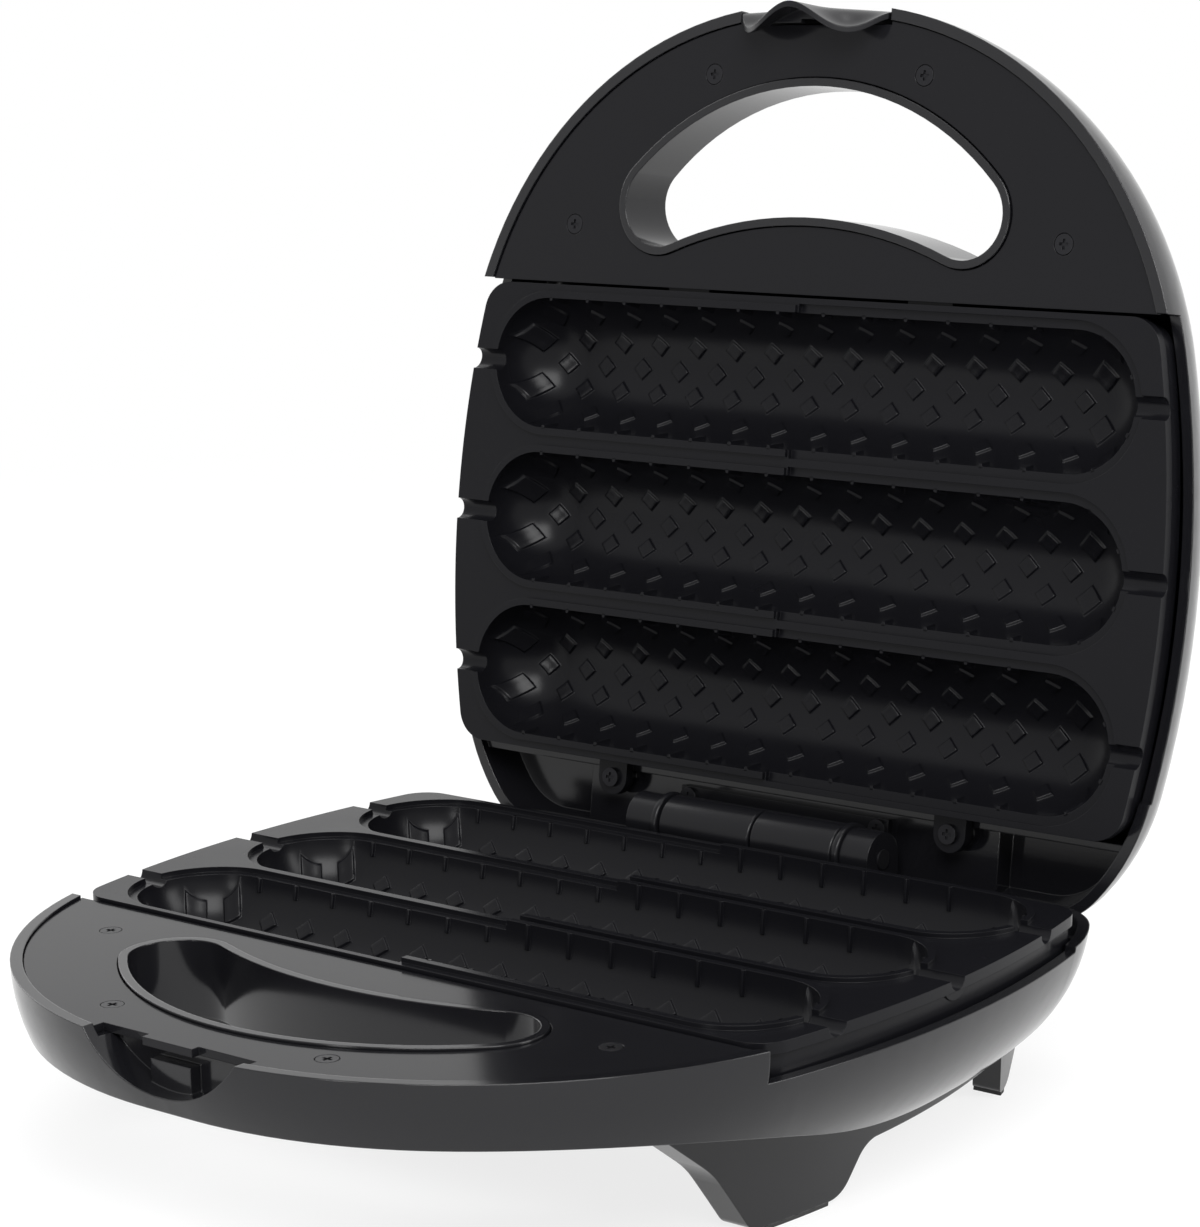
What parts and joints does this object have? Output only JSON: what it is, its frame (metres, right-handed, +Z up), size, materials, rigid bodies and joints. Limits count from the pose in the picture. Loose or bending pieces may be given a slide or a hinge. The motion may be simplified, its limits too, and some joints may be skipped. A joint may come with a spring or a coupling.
{
  "type": "corn dog maker",
  "caption": "Open countertop cooker with two hinged black shells, long half-round cavities in both cooking plates, kidney finger holes in the handles, a sprung latch and foot rails.",
  "frame": {"origin": "on the table, straight below the middle of the whole with its lid open", "axes": "+Z up, +X to the right as seen by the user at the front, +Y to the back, towards the hinge"},
  "size_m": [0.2416, 0.2729, 0.2782],
  "materials": {
    "shell": "glossy",
    "cover": "satin",
    "plate_coating": "non-stick coating",
    "black_steel": "satin",
    "element": "dull",
    "shield": "plain",
    "foot_rubber": "matte",
    "hinge_plastic": "satin",
    "steel": "plain",
    "lens_red": "clear",
    "lens_green": "clear",
    "neon": "clear",
    "ceramic": "matte"
  },
  "bodies": {
    "base": {"base_housing": "shell", "base_handle_cover": "cover", "base_cover_screws": "black_steel", "lower_plate": "plate_coating", "lower_plate_screws": "black_steel", "lower_heating_element": "element", "lower_element_clips": "steel", "lower_heat_shield": "shield", "left_skid": "shell", "right_skid": "shell", "skid_screws": "black_steel", "foot_pads": "foot_rubber", "hinge_base_bracket": "hinge_plastic", "hinge_base_screws": "black_steel", "hinge_pin": "steel", "thermostat": "ceramic", "terminal_block": "ceramic", "cord_gland": "foot_rubber"},
    "lid": {"lid_housing": "shell", "lid_handle_cover": "cover", "lid_cover_screws": "black_steel", "upper_plate": "plate_coating", "upper_plate_screws": "black_steel", "upper_heating_element": "element", "upper_element_clips": "steel", "upper_heat_shield": "shield", "hinge_lid_bracket": "hinge_plastic", "hinge_lid_screws": "black_steel", "thermal_fuse": "ceramic", "power_lamp_lens": "lens_red", "ready_lamp_lens": "lens_green", "neon_lamps": "neon", "latch_pin": "steel"},
    "latch": {"latch": "hinge_plastic"}
  },
  "joints": [
    {"name": "lid_hinge", "type": "hinge", "parent": "base", "child": "lid", "pos_m": [0, 0.08785, 0.054], "axis": [1, 0, 0], "range_deg": [0, 98.1]},
    {"name": "latch_pivot", "type": "hinge", "parent": "lid", "child": "latch", "pos_m": [-0.0015, 0.12789, 0.27148], "axis": [1, 0, 0], "range_deg": [0, 5], "stiffness_Nm_per_rad": 0.02}
  ]
}
